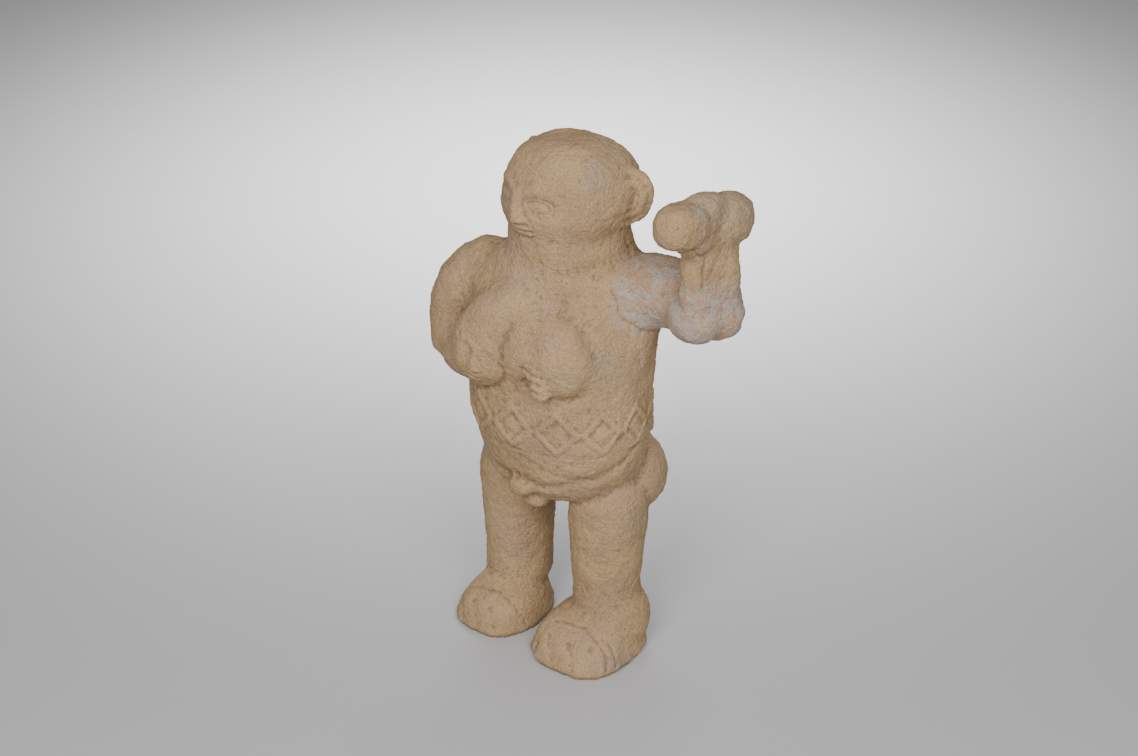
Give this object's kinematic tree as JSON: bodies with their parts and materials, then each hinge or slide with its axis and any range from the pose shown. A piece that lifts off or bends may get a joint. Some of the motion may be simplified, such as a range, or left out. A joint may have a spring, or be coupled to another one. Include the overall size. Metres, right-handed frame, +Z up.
{
  "type": "stone warrior figure",
  "caption": "Standing stone warrior with a raised double-bitted axe, a trophy head and fist held at the chest, and a carved lozenge belt.",
  "frame": {"origin": "on the ground under the middle of the bounding box", "axes": "+Z up; the figure faces -Y; its left side, with the raised axe, is towards +X"},
  "size_m": [0.2672, 0.14, 0.43],
  "materials": {
    "stone": "rough pecked volcanic stone, tan with grey and pinkish patches, unpolished"
  },
  "bodies": {
    "root": {"stone_figure": "stone"}
  },
  "joints": []
}
